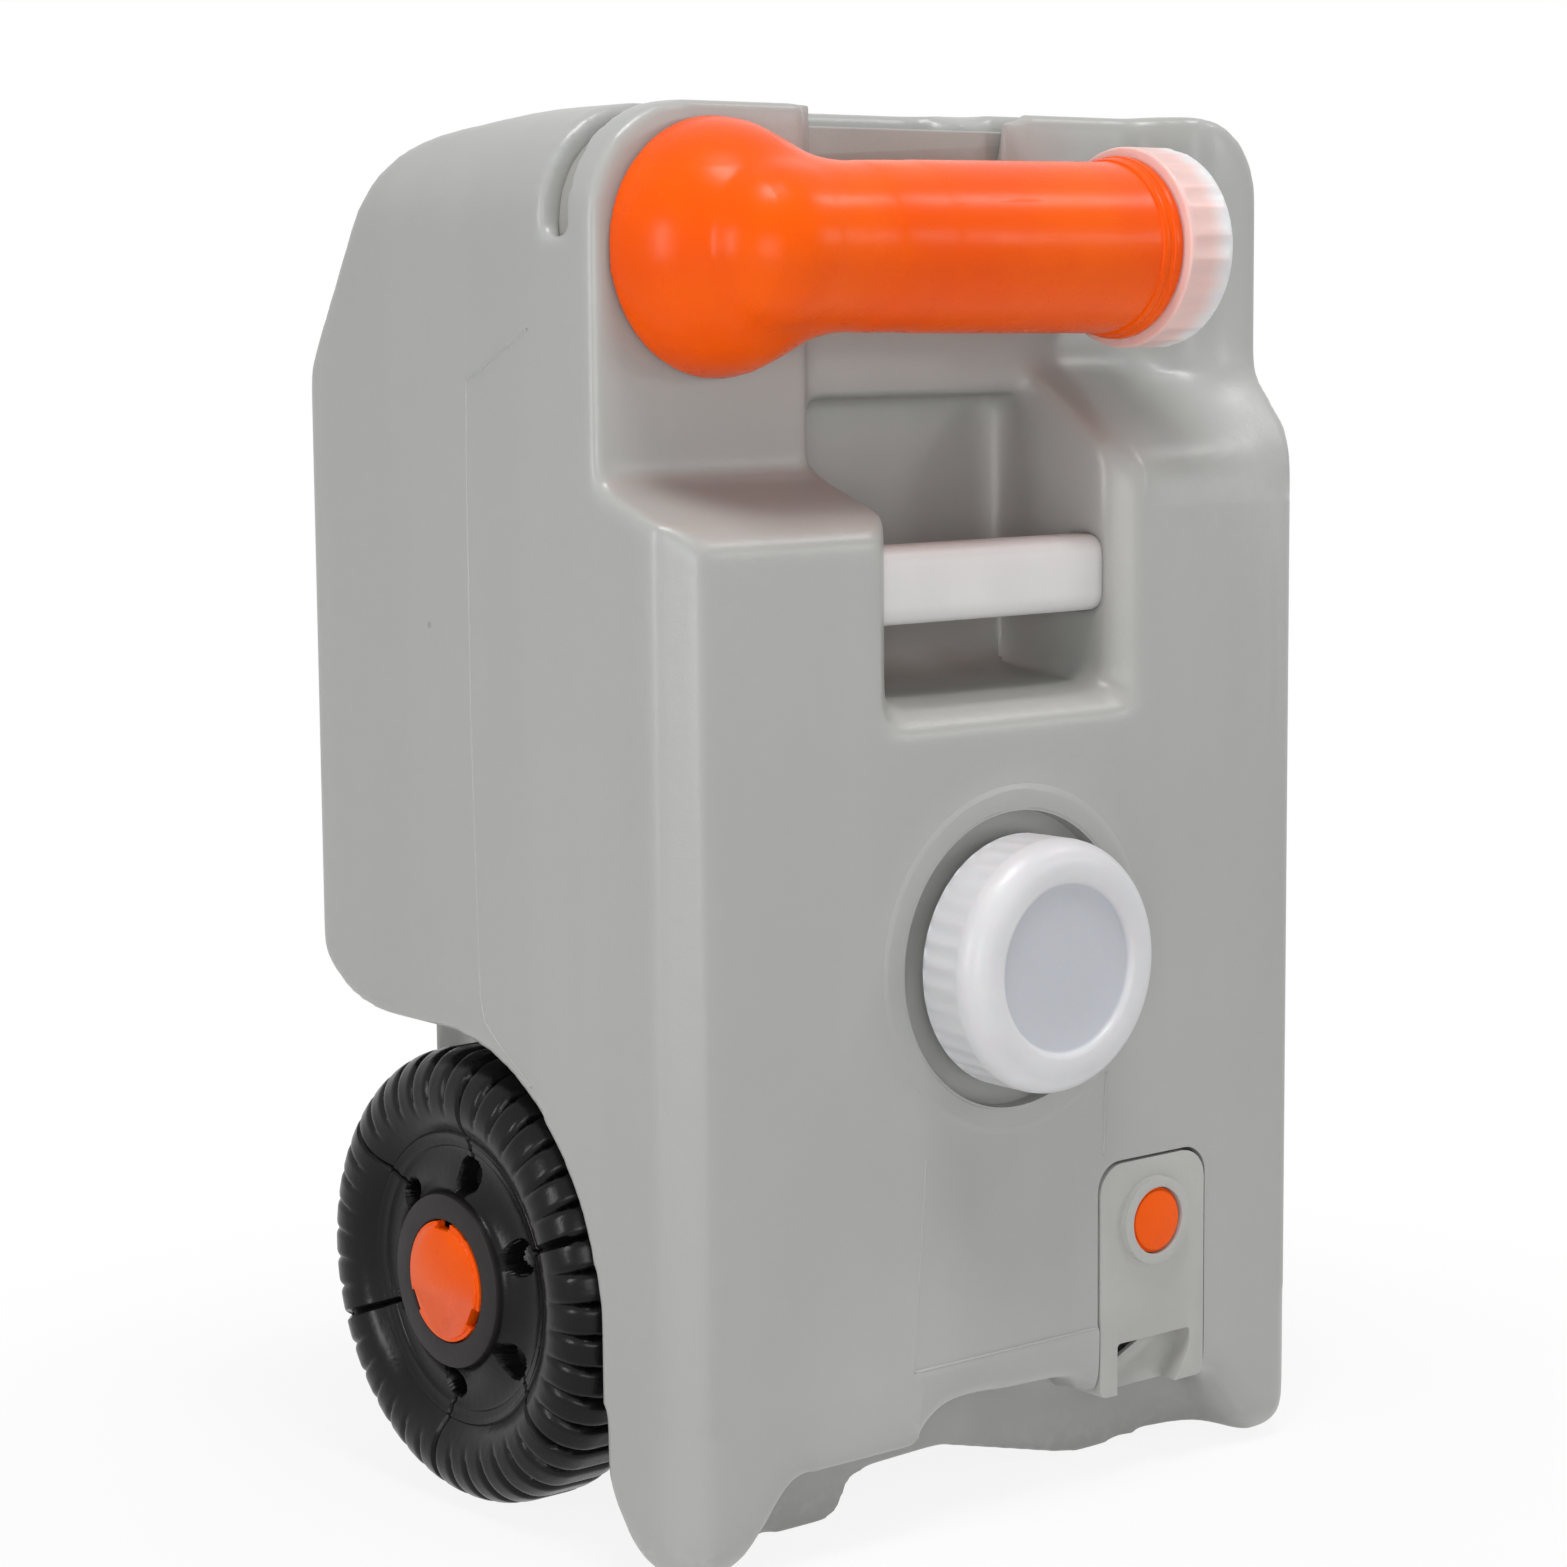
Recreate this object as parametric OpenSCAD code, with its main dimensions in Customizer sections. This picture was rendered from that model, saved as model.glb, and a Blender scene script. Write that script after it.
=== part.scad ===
// Wheeled water bowser: a hollow moulded tank with a swivel spout, screw caps, vent, wheels and pull handle.
// Millimetres. The front faces -Y, up is +Z, and the origin is on the floor under the middle of the object.

/* [Tank] */
// Width of the tank
tank_w = 363; // [350:1:400]
// Depth of the tank from front face to back face
tank_d = 274; // [266:1:310]
// Height of the tank
tank_h = 600; // [590:1:660]
// Thickness of the moulded wall
wall = 4; // [3:0.5:5]
// Bevel of the upright front corners
corner_bevel = 14.5; // [8:0.5:18]
// Rounding of the left shoulder, above the spout's foot
left_shoulder = 48; // [44:1:54]
// Rounding of the right shoulder
right_shoulder = 36; // [30:1:50]
// Height of the belly above the floor
belly_z = 40; // [34:1:46]
// Height of the arch between the feet
arch_z = 54; // [50:1:60]

/* [Spout seat] */
// Depth of the seat behind the front face
seat_back = 50; // [46:1:54]
// Depth of the wall behind the spout's pipe
trough_back = 60; // [58:1:63]
// Depth of the cheek on the right
cheek_back = 32; // [26:1:40]
// Shelf under the spout's foot, below the tank's top
shelf_drop = 170; // [166:1:176]
// Right shelf, below the tank's top
right_shelf_drop = 144; // [140:1:148]

/* [Grip] */
// Clear width of the grip recess
grip_w = 124; // [110:1:130]
// Depth of the grip recess
grip_back = 79; // [74:1:86]
// Bottom of the grip recess, below the tank's top
grip_drop = 257; // [250:1:262]
// Height of the grip bar
bar_h = 33; // [28:1:36]
// Thickness of the grip bar
bar_d = 24; // [20:1:26]
// Distance of the grip bar behind the front face
bar_back = 14; // [12:1:18]

/* [Spout] */
// Radius of the spout's foot
foot_r = 53; // [50:0.5:54]
// Height of the domed foot
dome_h = 58; // [54:1:62]
// Distance of the pipe's axis from the seat
pipe_off = 37.5; // [37:0.5:40]
// Radius of the pipe at the foot
pipe_r = 34.5; // [32:0.5:35]
// Distance of the spout's flange from the tank's right side
flange_in = 112.5; // [108:0.5:124]
// Radius of the spout cap
spout_cap_r = 43; // [41.5:0.5:43.5]
// Length of the spout cap
spout_cap_len = 28; // [26:1:30]

/* [Filler] */
// Radius of the filler cap
cap_r = 56; // [54:0.5:58]
// Distance the filler cap stands out from the front face
cap_stand = 38; // [36:1:42]
// Radius of the filler neck's bore
neck_bore = 43; // [38:0.5:44]
// Flats round the skirt of the filler cap
cap_flats = 36; // [24:1:44]

/* [Vent] */
// Width of the vent cover
cover_w = 64; // [60:1:70]
// Height of the vent cover
cover_h = 104; // [98:1:110]
// Radius of the vent button
button_r = 14.6; // [12:0.2:16]
// Travel of the vent button
button_travel = 6; // [4:0.5:7]

/* [Wheels] */
// Radius of the wheels
wheel_r = 100; // [96:1:104]
// Width of the wheels
wheel_w = 56; // [50:1:58]
// Distance of the axle behind the front face
axle_back = 168; // [164:1:170]
// Radius of the axle
axle_r = 7; // [5:0.5:8]
// Cross grooves round each tyre
tyre_grooves = 42; // [24:6:42]

/* [Pull handle] */
// Width of the handle's bar, front to back
arm_t = 13; // [10:0.5:14]
// Depth of the handle's bar
arm_w = 18; // [16:0.5:20]
// Distance of the handle below the tank's skin
arm_sink = 8; // [7:0.5:10]
// Distance of the groove's middle behind the front face
groove_back = 76; // [75:0.5:78]
// Height of the groove's lower ends, below the tank's top
groove_drop = 51; // [48:1:56]

/* [Hidden] */
$fn = 64;
front_y = cap_stand - (tank_d + cap_stand) / 2;
back_y = front_y + tank_d;
function at(s) = front_y + s;
half_w = tank_w / 2;
seat_y = at(seat_back);
spout_in = 59.5;
spout_x = spout_in - half_w;
flange_at = tank_w - spout_in - flange_in;
trough_left = spout_x + foot_r + 3;
spout_z = tank_h - 59;
spout_cap_lift = 22;
spigot_r = foot_r - 15;
seal_r = foot_r - 8;
retainer_r = foot_r - 8;
cheek_x = spout_x + flange_at + 4 + spout_cap_len + spout_cap_lift + 4;
filler_z = tank_h * 0.4035;
neck_r = neck_bore + 4.5;
neck_len = 26;
bar_z = tank_h - 198;
cover_x = half_w - 99.5;
cover_z = belly_z + cover_h / 2;
button_z = cover_z + 24;
axle_y = at(axle_back);
arch_r = wheel_r + 11;
well_w = wheel_w + 12;
shoe_gap = 0.3;
way_t = arm_t + 2.6;
way_w = arm_w + 2.6;
arm_x = half_w - arm_sink - arm_w / 2;
groove_y = at(groove_back);
groove_z = tank_h - groove_drop;
way_floor = wheel_r + arch_r + wall + 4;
arm_floor = way_floor + 6;
grip_half = grip_w / 2;

// Outlines are lists of corners [across, up, rounding], listed anticlockwise
function unit(v) = v / norm(v);
function inward(v) = [-v[1], v[0]];
function flat(c) = [c[0], c[1]];
function near(list, i) = list[(i + len(list)) % len(list)];
function corner(a, b, c, r, n) =
    r <= 0 ? [b] :
    let (u = unit(a - b), w = unit(c - b), half = acos(u * w) / 2)
    let (mid = b + unit(u + w) * r / sin(half))
    let (first = b + u * r / tan(half) - mid, last = b + w * r / tan(half) - mid)
    let (from = atan2(first[1], first[0]), turn = atan2(cross(first, last), first * last))
    [for (i = [0 : n]) mid + r * [cos(from + turn * i / n), sin(from + turn * i / n)]];
function rounded(outline, n) = [for (i = [0 : len(outline) - 1])
    each corner(flat(near(outline, i - 1)), flat(outline[i]), flat(near(outline, i + 1)), outline[i][2], n)];
// The same outline drawn in by t, with its roundings kept parallel
function inset(outline, t) = [for (i = [0 : len(outline) - 1])
    let (d = unit(flat(outline[i]) - flat(near(outline, i - 1))))
    let (e = unit(flat(near(outline, i + 1)) - flat(outline[i])))
    let (m = flat(outline[i]) + t * (inward(d) + inward(e)) / (1 + inward(d) * inward(e)))
    [m[0], m[1], outline[i][2] <= 0 ? 0 : max(0.2, outline[i][2] + (cross(d, e) > 0 ? -t : t))]];

// Prisms of an outline along each axis
module along_x(outline, x0, x1, n = 6)
    translate([x0, 0, 0]) rotate([90, 0, 90]) linear_extrude(x1 - x0) polygon(rounded(outline, n));
module along_y(outline, y0, y1, n = 6)
    translate([0, y1, 0]) rotate([90, 0, 0]) linear_extrude(y1 - y0) polygon(rounded(outline, n));
module along_z(outline, z0, z1, n = 6)
    translate([0, 0, z0]) linear_extrude(z1 - z0) polygon(rounded(outline, n));
// Round bars along X and Y, from a to b
module bar_x(y, z, r, a, b) translate([a, y, z]) rotate([0, 90, 0]) cylinder(r = r, h = b - a);
module bar_y(x, z, r, a, b) translate([x, b, z]) rotate([90, 0, 0]) cylinder(r = r, h = b - a);
module both_sides() {
    children();
    mirror([1, 0, 0]) children();
}

// Tank seen from the side, from the front and from above
side_outline = [[at(22), -10, 0], [at(228), -10, 0], [back_y, 165, 50], [back_y, tank_h - 130, 60],
    [back_y - 69, tank_h - 12, 50], [at(70), tank_h + 8, 0], [front_y, tank_h + 8, 0], [front_y, 12, 8]];
front_outline = [[-half_w, 0, 20], [28 - half_w, 0, 12], [62 - half_w, belly_z, 14], [-54, belly_z, 8],
    [-38, arch_z, 12], [42, arch_z - 4, 8], [54, belly_z, 6], [half_w - 62, belly_z, 14], [half_w - 28, 0, 12],
    [half_w, 0, 20], [half_w, tank_h, right_shoulder], [-half_w, tank_h, left_shoulder]];
back_bevel = 16;
plan_outline = [[corner_bevel + 20 - half_w, front_y - 20, 0], [half_w - corner_bevel - 20, front_y - 20, 0],
    [half_w + 20, at(corner_bevel + 20), 0], [half_w + 20, back_y - back_bevel - 20, 0],
    [half_w - back_bevel - 20, back_y + 20, 0], [back_bevel + 20 - half_w, back_y + 20, 0],
    [-half_w - 20, back_y - back_bevel - 20, 0], [-half_w - 20, at(corner_bevel + 20), 0]];

// Room in front of the spout's seat, the trough behind its pipe and the cheek
upper_plan = [[-half_w - 40, front_y - 60, 0], [half_w + 40, front_y - 60, 0], [half_w + 40, at(cheek_back), 0],
    [cheek_x + 18, at(cheek_back), 10], [cheek_x, at(trough_back), 10], [trough_left, at(trough_back), 3],
    [trough_left - 4, seat_y, 3], [-half_w - 40, seat_y, 0]];
function shelf(z, rise) = [[front_y - 60, z - 67, 0], [at(9), z + 2, 8], [at(120), z + 2 + rise * 111, 0],
    [at(120), tank_h + 60, 0], [front_y - 60, tank_h + 60, 0]];
module upper_room(t) intersection() {
    along_z(inset(upper_plan, -t), 100, tank_h + 50);
    union() {
        along_x(inset(shelf(tank_h - shelf_drop, 0.38), -t), -half_w - 30, grip_half - 1 + t);
        along_x(inset(shelf(tank_h - right_shelf_drop, 0.68), -t), grip_half - 1.5, cheek_x + 18 + t);
        along_x(inset(shelf(tank_h - right_shelf_drop, 1.25), -t), cheek_x + 17.5, half_w + 30);
    }
}

// Recess for the hand under the spout, with bevelled sides and bottom
grip_plan = [[-grip_half - 52, front_y - 40, 0], [grip_half + 52, front_y - 40, 0], [grip_half, at(12), 6],
    [grip_half, at(grip_back), 14], [-grip_half, at(grip_back), 14], [-grip_half, at(12), 6]];
grip_side = [[front_y - 40, tank_h - grip_drop - 40, 0], [at(10), tank_h - grip_drop + 10, 8],
    [at(150), tank_h - grip_drop + 22, 0], [at(150), tank_h - 118, 0], [front_y - 40, tank_h - 126, 0]];
grip_front = [[-grip_half - 14, tank_h - grip_drop - 2, 22], [grip_half + 14, tank_h - grip_drop - 2, 22],
    [grip_half + 14, tank_h + 40, 0], [-grip_half - 14, tank_h + 40, 0]];
module grip_room(t) intersection() {
    along_z(inset(grip_plan, -t), 100, tank_h + 50);
    along_x(inset(grip_side, -t), -half_w, half_w);
    along_y(inset(grip_front, -t), front_y - 60, at(160));
}

// Pocket behind the pull handle's top bar, open to the front and the top
pocket_left = spout_x + retainer_r + wall + 13;
pocket_right = grip_half - 16;
pocket_plan = [[pocket_left, at(40), 0], [pocket_right, at(40), 0], [pocket_right, at(106), 14],
    [pocket_left, at(106), 14]];
pocket_side = [[at(30), tank_h - 78, 0], [at(120), tank_h - 62, 0], [at(120), tank_h + 60, 0],
    [at(30), tank_h + 60, 0]];
module hand_pocket(t) intersection() {
    along_z(inset(pocket_plan, -t), 100, tank_h + 50);
    along_x(inset(pocket_side, -t), -half_w, half_w);
}

// Groove over both shoulders and the two channels for the pull handle's arms
groove_in = arm_sink + arm_w + 1.3;
groove_outline = [[-half_w - 30, groove_z - 6, 0], [groove_in - half_w, groove_z, 0],
    [groove_in - half_w, tank_h - groove_in, 22], [half_w - groove_in, tank_h - groove_in, 22],
    [half_w - groove_in, groove_z, 0], [half_w + 30, groove_z - 6, 0], [half_w + 30, tank_h + 60, 0],
    [-half_w - 30, tank_h + 60, 0]];
module handle_ways(t) {
    along_y(inset(groove_outline, -t), groove_y - way_t / 2 - t, groove_y + way_t / 2 + t);
    both_sides() translate([arm_x - way_w / 2 - t, groove_y - way_t / 2 - t, way_floor - t])
        cube([way_w + 2 * t, way_t + 2 * t, groove_z - way_floor + 3 + t]);
}

// Wells for the wheels, open at the back
well_outline = [[axle_y - arch_r - 34, -10, 0], [axle_y - arch_r - 34, -60, 0], [back_y + 60, -60, 0],
    [back_y + 60, wheel_r + arch_r + 88, 0], [back_y - 28, wheel_r + arch_r, 20],
    [axle_y - arch_r, wheel_r + arch_r, arch_r], [axle_y - arch_r, 36, 24]];
module wheel_wells(t) both_sides()
    along_x(inset(well_outline, -t), half_w - well_w - t, half_w + 40, 14);

// Pocket for the vent cover, open at the bottom
cover_outline = [[cover_x - cover_w / 2 - 0.8, belly_z - 20, 0], [cover_x + cover_w / 2 + 0.8, belly_z - 20, 0],
    [cover_x + cover_w / 2 + 0.8, cover_z + cover_h / 2 + 0.8, 14],
    [cover_x - cover_w / 2 - 0.8, cover_z + cover_h / 2 + 0.8, 14]];
pocket_back = 22;
module cover_room(t) along_y(inset(cover_outline, -t), front_y - 20, at(pocket_back) + t);

// The tank's form with everything that is cut from its outside, drawn in by t
module tank_form(t) difference() {
    intersection() {
        along_x(inset(side_outline, t), -half_w - 10, half_w + 10, 8);
        along_y(inset(front_outline, t), front_y - 10, back_y + 10, 8);
        along_z(inset(plan_outline, t), -20, tank_h + 20);
    }
    upper_room(t);
    grip_room(t);
    hand_pocket(t);
    handle_ways(t);
    wheel_wells(t);
    cover_room(t);
    bar_y(0, filler_z, 61 + t, front_y - 20, at(7) + t);
    bar_x(axle_y, wheel_r, axle_r + 0.4 + t, -half_w, half_w);
    along_x(bar_section(0.15 + t), -grip_half - 9 - t, grip_half + 9 + t);
}

// Section of the grip bar, grown by g
bar_low = bar_z - bar_h / 2;
bar_top = bar_z + bar_h / 2;
function bar_section(g) = inset([[at(bar_back), bar_low, 8], [at(bar_back + bar_d), bar_low, 8],
    [at(bar_back + bar_d), bar_top, 8], [at(bar_back), bar_top, 8]], -g);

// Keel with the two inner feet, reaching top into the tank, and the webs that join it to the outer legs
keel_x = half_w - 74;
function keel(top) = [[-keel_x, 0, 9], [-64, 0, 8], [-57, 17, 8], [-6, 20, 30], [74, 0, 20], [keel_x, 0, 9],
    [keel_x, belly_z + top, 0], [54, belly_z + top, 0], [42, arch_z - 4 + top, 0], [-38, arch_z + top, 0],
    [-54, belly_z + top, 0], [-keel_x, belly_z + top, 0]];
web_plan = [[half_w - 86, at(43), 0], [half_w - 44, at(34), 0], [half_w - 31, at(21), 0],
    [half_w - 20, at(24), 0], [half_w - 40, at(42), 0], [half_w - 86, at(53), 0]];
module tank() color("#a5a6a3") difference() {
    union() {
        difference() {
            union() {
                tank_form(0);
                along_y(keel(2), at(43), at(84));
                both_sides() along_z(web_plan, 2, belly_z + 2);
            }
            tank_form(wall);
        }
        // rim round the filler and the neck that carries the cap's thread
        difference() {
            bar_y(0, filler_z, 75, front_y - 1.2, at(wall / 2));
            bar_y(0, filler_z, 61, front_y - 20, at(20));
        }
        bar_y(0, filler_z, neck_r, front_y - neck_len, at(9));
        // bosses that carry the axle
        both_sides() bar_x(axle_y, wheel_r, 22, half_w - well_w - 2, hub_back - 3.4);
        // collar behind the spout's seat, and the vent's boss
        bar_y(spout_x, spout_z, retainer_r + 1, seat_y + wall / 2, seat_y + wall + 2);
        bar_y(cover_x, button_z, 13, at(pocket_back + wall / 2), at(pocket_back + wall + 4));
    }
    bar_y(0, filler_z, neck_bore, front_y - 60, at(40));
    bar_y(spout_x, spout_z, spigot_r + 0.4, seat_y - 20, seat_y + 25);
    along_y(inset(keel(wall * 3), wall), at(43 + wall), at(84 - wall));
    bar_y(cover_x, button_z, 9, front_y - 20, at(pocket_back + 20));
    bar_x(axle_y, wheel_r, axle_r + 0.4, -half_w, half_w);
}

module grip_bar() color("#cfcdcb") difference() {
    along_x(bar_section(0), -grip_half - 8.5, grip_half + 8.5);
    along_x(bar_section(-4), -grip_half - 12, grip_half + 12);
}

// Spout: a domed foot that turns on the seat, and a round-ended pipe that leaves it sideways
thread_r = spout_cap_r - 6;
function dome(r, h, n) = [[0, 0], each [for (i = [0 : n]) [r * cos(88 * i / n), h * sin(88 * i / n)]], [0, h]];
module from_seat(off) translate([spout_x, seat_y - off, spout_z]) rotate([90, 0, 0]) children();
module from_foot(along)
    translate([spout_x + along, seat_y - pipe_off, spout_z]) rotate([0, 90, 0]) children();
module spout() color("#f25a14") difference() {
    union() {
        from_seat(0.4) rotate_extrude() polygon(dome(foot_r, dome_h, 14));
        from_foot(0) cylinder(r1 = pipe_r, r2 = pipe_r + 2, h = flange_at);
        from_foot(0) sphere(r = pipe_r + 0.5);
        from_foot(flange_at - 4) cylinder(r = pipe_r + 3, h = 3);
        from_foot(flange_at - 1.5) cylinder(r = pipe_r + 4, h = 4.5);
        from_foot(flange_at) cylinder(r = thread_r, h = spout_cap_len - 3);
        from_seat(-wall - 8) cylinder(r = spigot_r, h = wall + 10);
    }
    difference() {
        from_seat(3.4) rotate_extrude() polygon(dome(foot_r - 3, dome_h - 6, 14));
        from_seat(0) cylinder(r = foot_r, h = 3.6);
    }
    from_foot(0) cylinder(r1 = pipe_r - 3, r2 = thread_r - 4, h = flange_at);
    from_foot(0) sphere(r = pipe_r - 2.5);
    from_foot(flange_at - 1) cylinder(r = thread_r - 4, h = spout_cap_len + 10);
    from_seat(-wall - 20) cylinder(r = spigot_r - 4, h = wall + 30);
    // groove for the ring under the foot and groove for the retainer
    from_seat(0) difference() {
        cylinder(r = seal_r + 2.3, h = 3);
        translate([0, 0, -1]) cylinder(r = seal_r - 2.3, h = 6);
    }
    from_seat(-wall - 5.7) difference() {
        cylinder(r = retainer_r + 5, h = 3.2);
        translate([0, 0, -1]) cylinder(r = spigot_r - 1.6, h = 6);
    }
}
module spout_seal() color("#26262a") from_seat(1.6) rotate_extrude() translate([seal_r, 0]) circle(r = 1.25);
module spout_retainer() color("#d8d8d4") from_seat(-wall - 5.6) difference() {
    cylinder(r = retainer_r, h = 3);
    translate([0, 0, -1]) cylinder(r = spigot_r - 1.5, h = 6);
}

// Screw cap with flats round its skirt, its open end at zero and its top at height h
module ring_of_flats(r, h, n) linear_extrude(h)
    polygon([for (i = [0 : n - 1]) r * [cos(360 * i / n), sin(360 * i / n)]]);
module cap_solid(r, h, edge, n) intersection() {
    rotate_extrude() union() {
        square([r, h - edge]);
        square([r - edge, h]);
        translate([r - edge, h - edge]) circle(r = edge);
    }
    ring_of_flats(r + 0.1, h + 1, n);
}
module spout_cap() color("#e2e3e5") from_foot(flange_at + 4) difference() {
    cap_solid(spout_cap_r, spout_cap_len, 6, 24);
    translate([0, 0, -1]) cylinder(r = thread_r + 0.6, h = spout_cap_len - 2.6);
    translate([0, 0, spout_cap_len - 1.5]) cylinder(r = spout_cap_r - 14, h = 5);
}
module spout_cap_seal() color("#3a3a3d") from_foot(flange_at + spout_cap_len - 2.8) difference() {
    cylinder(r = thread_r + 0.2, h = 2.8);
    translate([0, 0, -1]) cylinder(r = thread_r - 7, h = 6);
}

module from_front(off, x, z) translate([x, front_y - off, z]) rotate([90, 0, 0]) children();
module filler_cap() color("#e2e3e5") from_front(-4, 0, filler_z) difference() {
    cap_solid(cap_r, cap_stand + 4, 11, cap_flats);
    translate([0, 0, -1]) cylinder(r = neck_r + 0.8, h = neck_len + 8.2);
    translate([0, 0, cap_stand - 1]) cylinder(r = 35.5, h = 10);
}
module filler_cap_seal() color("#3a3a3d") from_front(neck_len + 0.1, 0, filler_z) difference() {
    cylinder(r = neck_r + 0.4, h = 3);
    translate([0, 0, -1]) cylinder(r = neck_bore - 2, h = 6);
}

// Vent: cover plate with a boss for the button and a thumb scoop at its lower edge
scoop_x = cover_x + 0.5;
plate_outline = [[cover_x - cover_w / 2, belly_z, 4], [cover_x + cover_w / 2, belly_z, 4],
    [cover_x + cover_w / 2, cover_z + cover_h / 2, 13.2], [cover_x - cover_w / 2, cover_z + cover_h / 2, 13.2]];
scoop_outline = [[scoop_x - 22, belly_z - 9, 0], [scoop_x + 8, belly_z - 9, 0],
    [scoop_x + 23, belly_z + 14, 16], [scoop_x + 23, belly_z + 23, 2], [scoop_x - 22, belly_z + 23, 2]];
slit_outline = [[scoop_x - 20.5, belly_z + 10.5, 1], [scoop_x + 2.5, belly_z + 20.5, 1],
    [scoop_x - 20.5, belly_z + 21.5, 1]];
module vent_cover() color("#aaaca6") difference() {
    union() {
        difference() {
            along_y(plate_outline, front_y - 0.6, at(pocket_back));
            along_y(inset(plate_outline, 3), at(2.4), at(pocket_back + 5));
        }
        along_y(inset(scoop_outline, -2.5), front_y + 0.5, at(11));
        from_front(0, cover_x, button_z) cylinder(r = 19.6, h = 4);
        from_front(-14, cover_x, button_z) cylinder(r = 18, h = 14);
    }
    along_y(scoop_outline, front_y - 20, at(8.5));
    along_y(slit_outline, front_y - 20, at(30));
    translate([cover_x - 60, at(-5), belly_z - 30]) cube([120, 50, 30]);
    from_front(-40, cover_x, button_z) cylinder(r = button_r + 0.4, h = 60);
}
module vent_button() color("#f25a14") from_front(-10, cover_x, button_z) difference() {
    union() {
        cylinder(r = button_r, h = 12.2);
        cylinder(r = button_r - 1.2, h = 13.4);
    }
    translate([0, 0, -1]) cylinder(r = button_r - 2, h = 11);
    translate([0, 0, -1]) cylinder(r = 3.2, h = 13);
}
module vent_bush() color("#c9cac6") from_front(-pocket_back - wall - 3, cover_x, button_z) difference() {
    union() {
        cylinder(r = 8.9, h = wall + 3);
        translate([0, 0, wall + 3]) cylinder(r = 13, h = 2);
    }
    for (i = [0 : 3]) rotate([0, 0, 90 * i]) translate([5.9, 0, -1]) cylinder(r = 1.6, h = 30);
    translate([0, 0, -1]) cylinder(r = 3.3, h = 30);
}
stem_back = pocket_back + wall + 14;
module vent_valve() color("#d8d8d4") from_front(-stem_back, cover_x, button_z) union() {
    cylinder(r = 12.5, h = 3);
    cylinder(r = 3, h = stem_back - 0.2);
    translate([0, 0, stem_back - 10.8]) cylinder(r = 3.15, h = 10.2);
}
module vent_seal() color("#26262a") from_front(-stem_back + 3, cover_x, button_z) difference() {
    cylinder(r = 12, h = 6.8);
    translate([0, 0, -1]) cylinder(r = 8.8, h = 10);
}
// Coil spring between the bush and the button, six sides to the wire and eight rings to the turn
coil_turns = 5;
coil_r = 8.5;
wire_r = 0.8;
coil_h = 19.4;
coil_rings = coil_turns * 8;
function coil_point(i, k) = let (a = 45 * i, r = coil_r + wire_r * cos(60 * k))
    [r * cos(a), r * sin(a), wire_r + (coil_h - 2 * wire_r) * i / coil_rings + wire_r * sin(60 * k)];
coil_gap = (coil_h - 2 * wire_r) / coil_turns - 2 * wire_r;
echo(str("least gap between the spring's turns ", coil_gap));
module vent_spring() color("#9a9ca0") from_front(-pocket_back + 2.3, cover_x, button_z) polyhedron(
    points = [for (i = [0 : coil_rings]) for (k = [0 : 5]) coil_point(i, k)],
    faces = [[5, 4, 3, 2, 1, 0], [for (k = [0 : 5]) coil_rings * 6 + k],
        for (i = [0 : coil_rings - 1]) for (k = [0 : 5]) each [
            [i * 6 + k, i * 6 + (k + 1) % 6, i * 6 + 6 + k],
            [i * 6 + (k + 1) % 6, i * 6 + 6 + (k + 1) % 6, i * 6 + 6 + k]]]);

// Running gear on the right; the left side mirrors it
hub_face = half_w - 1;
hub_back = hub_face - wheel_w + 4;
bush_r = axle_r + 4;
module at_hub(x) translate([x, axle_y, wheel_r]) rotate([0, 90, 0]) children();
module tyre_section() {
    translate([wheel_r - 42, -wheel_w / 2 + 20]) square([42 - 20, wheel_w - 40]);
    translate([wheel_r - 22, -wheel_w / 2]) square([2, wheel_w]);
    translate([wheel_r - 20, -wheel_w / 2 + 20]) square([20, wheel_w - 40]);
    for (s = [-1, 1]) translate([wheel_r - 20, s * (wheel_w / 2 - 20)]) circle(r = 20);
    for (s = [-1, 1]) translate([wheel_r - 22, s * (wheel_w / 2 - 20)]) circle(r = 20);
}
// Sealed hollow of the blow-moulded tyre
module tyre_hollow() {
    translate([wheel_r - 35, 20 - wheel_w / 2]) square([26, wheel_w - 40]);
    for (s = [-1, 1]) translate([wheel_r - 22, s * (wheel_w / 2 - 21)]) circle(r = 13);
}
module wheel() difference() {
    union() {
        at_hub(hub_face - wheel_w / 2) rotate_extrude() tyre_section();
        at_hub(hub_face - wheel_w / 2 - 9) cylinder(r = wheel_r - 38, h = 18);
        at_hub(hub_back) cylinder(r = 38, h = hub_face - hub_back);
    }
    at_hub(hub_back - 1) cylinder(r = bush_r, h = 80);
    at_hub(hub_face - 12) cylinder(r = 26.6, h = 30);
    at_hub(hub_face - wheel_w / 2) rotate_extrude() tyre_hollow();
    for (i = [0 : 5]) rotate_hub(9 + 60 * i) {
        at_hub(hub_face - wheel_w / 2 - 3) translate([-49, 0, 0]) cylinder(r = 10, h = 60);
        translate([hub_face - 1, axle_y, wheel_r + 44]) cylinder(r = 4, h = 70);
    }
    tread();
}
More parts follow.
